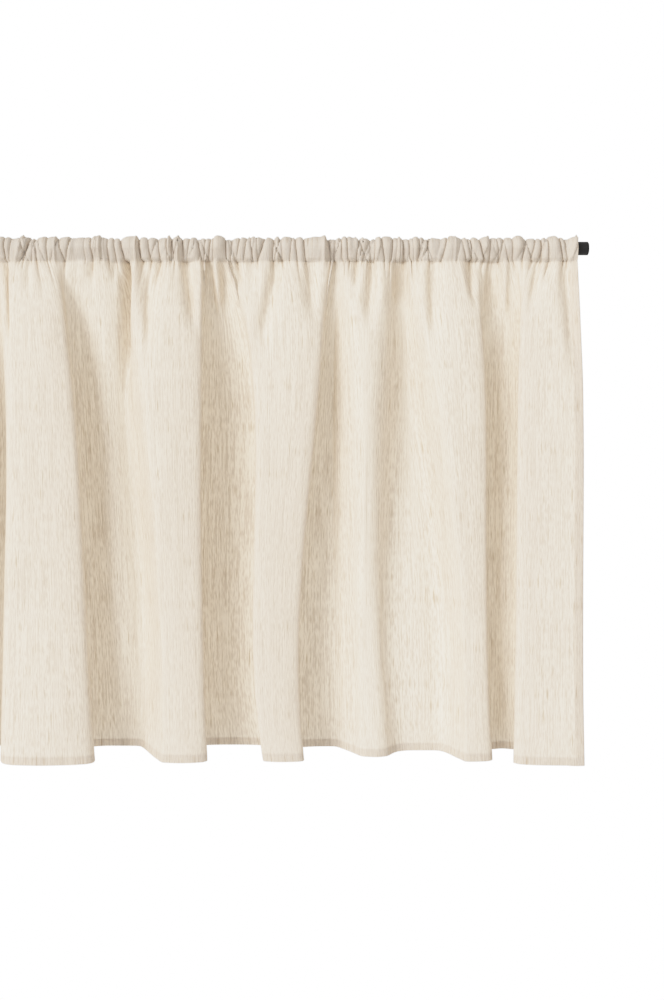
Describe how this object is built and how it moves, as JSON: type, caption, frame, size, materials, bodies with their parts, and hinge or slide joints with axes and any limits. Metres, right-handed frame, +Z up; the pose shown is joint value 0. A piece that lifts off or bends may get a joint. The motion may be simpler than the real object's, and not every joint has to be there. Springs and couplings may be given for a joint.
{
  "type": "cafe curtain on rod",
  "caption": "Short unlined linen-look cafe curtain, gathered by its sewn rod pocket on a plain round black rod, hanging in uneven folds to a narrow turned hem.",
  "frame": {"origin": "on the rod's axis at the middle of its length", "axes": "+X along the rod to the right as seen from the room, -Y towards the room, +Z up"},
  "size_m": [1.06, 0.077, 0.6019],
  "materials": {
    "cloth": "semi-sheer cream linen-look slub weave, matt",
    "rod_metal": "matt black powder coat",
    "plug_plastic": "matt black moulded plastic"
  },
  "bodies": {
    "root": {"curtain": "cloth", "rod": "rod_metal", "end_plug_left": "plug_plastic", "end_plug_right": "plug_plastic"}
  },
  "joints": []
}
